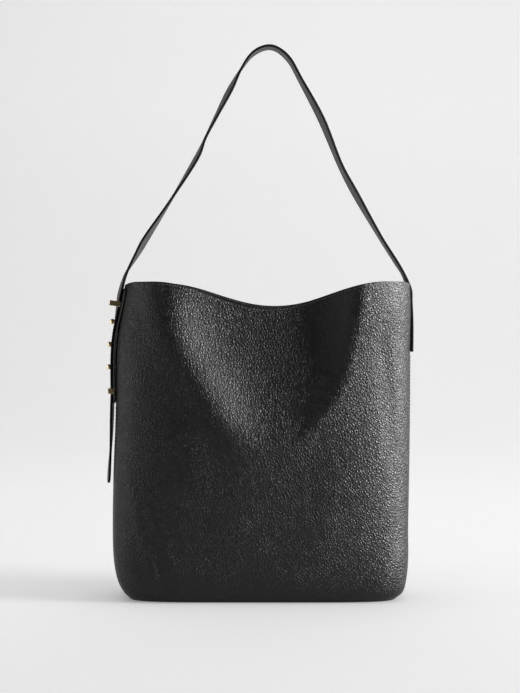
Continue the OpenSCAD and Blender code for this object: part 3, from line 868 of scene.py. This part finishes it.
def tail():
    """Free end of the strap, hanging from the lower keeper."""
    length = TAIL_PIVOT[2] - low("strap_tail")[2]
    z = np.linspace(0, length, 70)
    lean = math.radians(2.7)
    bow = 1.6 * np.sin(math.pi * np.clip(z / length, 0, 1)) ** 2
    x = TAIL_PIVOT[0] - z * math.sin(lean) + bow * 0.4
    twist = -9 * ease(20, length, z)
    rows = np.stack([x, TAIL_PIVOT[2] - z * math.cos(lean), twist], 1)
    top = np.array([[TAIL_PIVOT[0], LOWER_KEEPER_Z - 0.4 - k, 0] for k in (0, 1.6, 3.2)])
    rows = np.vstack([top, rows])
    along = np.concatenate([np.zeros(3), z])
    end = length - along
    half = STRAP_W / 2 * np.sqrt(np.clip(1 - (1 - np.clip(end / (STRAP_W / 2), 0, 1)) ** 2, 0.004, 1))
    half = np.maximum(half, STRAP_T / 2 + 0.05)
    rows = rows[::-1]
    obj = strap_mesh("strap_tail_leather", rows, half[::-1])
    down = np.array([-math.sin(lean), 0, -math.cos(lean)])
    out = np.array([-math.cos(lean), 0, math.sin(lean)])
    punch_holes(obj, [TAIL_PIVOT + down * (k * STUD_PITCH - 4) for k in (1, 2)], out)
    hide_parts("strap_tail")
    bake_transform(obj)


tail()


def stud_tab():
    """Leather reinforcement down the studded side, that follows the panels under it."""
    z0, z1 = low("stud_tab")[2], high("stud_tab")[2]
    r = TAB_CORNER_R
    zs = np.linspace(z0, z1, 80)
    across = np.linspace(-1, 1, 21)
    turn = np.tan(np.radians(side_twist(zs) + run_turn(zs)))
    corner = np.minimum(zs - z0, z1 - zs)
    inset = r - np.sqrt(np.clip(r * r - np.clip(r - corner, 0, r) ** 2, 0, None))
    half = TAB_W / 2 - inset

    def layer(off, widen):
        y = across[None] * (half[:, None] + widen)
        back = 1.4 * (np.abs(y) / (TAB_W / 2)) ** 2.6
        x = seam(zs, True)[:, None] - off + back - y * turn[:, None]
        return np.stack([x, y, np.repeat(zs[:, None], len(across), 1)], -1)

    inner, outer = layer(TAB_OFF, 0), layer(TAB_OFF + TAB_T, 0)
    low_edge, high_edge = layer(TAB_OFF + 0.35, 0.25), layer(TAB_OFF + TAB_T - 0.35, 0.25)
    rings = np.concatenate([inner, low_edge[:, -1:], high_edge[:, -1:], outer[:, ::-1], high_edge[:, :1],
                            low_edge[:, :1]], 1)
    obj = make("stud_tab_leather", rings.reshape(-1, 3), ring_faces(*rings.shape[:2]), smooth_leather,
               "bag_body")
    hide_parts("stud_tab")
    for k, col in enumerate((1, -2)):
        line = outer[4:-4, col] + np.array([-0.05, 0, 0])
        stitches(f"stud_tab_stitches_{k}", line, np.tile([-1.0, 0, 0], (len(line), 1)), "bag_body", pitch=4,
                 length=3.1)


stud_tab()


# ---- Stage, lights and camera -------------------------------------------------------------------

def backdrop():
    """Pale seamless floor that curves up behind the bag, and gives off a little light."""
    half, front, back, top, r = 2700, -640, 2600, 5000, 900
    profile = [(front, 0), (back - r, 0)]
    profile += [(back - r + r * math.sin(a), r - r * math.cos(a))
                for a in np.linspace(0, math.pi / 2, 16)[1:]]
    profile += [(back, top)]
    points = [(x, y, z) for y, z in profile for x in (-half, half)]
    faces = [(2 * i, 2 * i + 1, 2 * i + 3, 2 * i + 2) for i in range(len(profile) - 1)]
    m = Nodes("studio_floor", (0.80, 0.80, 0.80), 0.9, Specular_IOR_Level=0.1)
    m.color(m.ramp(m.noise(0.6, 2), (0.3, (0.79, 0.79, 0.79)), (0.7, (0.81, 0.81, 0.81))))
    m.shader.inputs["Emission Color"].default_value = (1, 1, 1, 1)
    m.shader.inputs["Emission Strength"].default_value = 0.29
    obj = make("studio_sweep", points, faces, m.material)
    return obj


def area_light(name, place, aim, size, power, on_stage):
    """Soft box. It lights either the studio sweep or everything else."""
    light = bpy.data.lights.new(name, "AREA")
    light.shape = "RECTANGLE"
    light.size, light.size_y = size
    light.energy = power
    obj = bpy.data.objects.new(name, light)
    bpy.context.scene.collection.objects.link(obj)
    obj.location = place
    obj.rotation_euler = (Vector(aim) - Vector(place)).to_track_quat("-Z", "Y").to_euler()
    group = bpy.data.collections.new(name + "_receivers")
    group.objects.link(sweep)
    group.collection_objects[0].light_linking.link_state = "INCLUDE" if on_stage else "EXCLUDE"
    obj.light_linking.receiver_collection = group


def camera(place, lens, pitch):
    """Camera that looks along +Y, and down by pitch degrees."""
    data = bpy.data.cameras.new("camera")
    data.lens = lens
    data.clip_end = 50
    obj = bpy.data.objects.new("camera", data)
    bpy.context.scene.collection.objects.link(obj)
    obj.location = place
    obj.rotation_euler = (math.radians(90 - pitch), 0, 0)
    bpy.context.scene.camera = obj


def surroundings(seen, given):
    """Plain white world, of brightness seen to the camera and given to everything else."""
    world = bpy.data.worlds.new("studio")
    world.use_nodes = True
    tree = world.node_tree
    background = tree.nodes["Background"]
    background.inputs["Color"].default_value = (1, 1, 1, 1)
    path = tree.nodes.new("ShaderNodeLightPath")
    strength = tree.nodes.new("ShaderNodeMapRange")
    strength.inputs["To Min"].default_value = given
    strength.inputs["To Max"].default_value = seen
    tree.links.new(path.outputs["Is Camera Ray"], strength.inputs["Value"])
    tree.links.new(strength.outputs[0], background.inputs["Strength"])
    bpy.context.scene.world = world


sweep = backdrop()

# Place, aim, size and power of each soft box, and whether it lights the sweep or everything else
LIGHTS = {
    "key": ((1.4, -0.6, 0.72), (0, 0, 0.2), (0.4, 0.8), 57, False),
    "side": ((1.6, -0.1, 0.72), (0, 0, 0.2), (0.4, 0.8), 88, False),
    "fill_left": ((-1.6, -0.2, 0.5), (0, 0, 0.2), (0.6, 1.2), 15, False),
    "overhead": ((-0.2, -0.2, 2.7), (-0.2, -0.2, 0), (3.4, 2.6), 32, True),
    "wash": ((-0.2, 0.2, 2.6), (-0.2, 2.6, 1.6), (3.0, 1.0), 15, True),
    "floor_right": ((3.2, -0.7, 2.1), (-0.3, 0, 0), (1.0, 1.0), 62, True),
}
for light_name, settings in LIGHTS.items():
    area_light(light_name, *settings)
surroundings(seen=0.84, given=0.02)
bpy.context.scene.view_settings.view_transform = "Standard"
camera((-0.001, -1.8, 0.3243), lens=81.3, pitch=1.2)
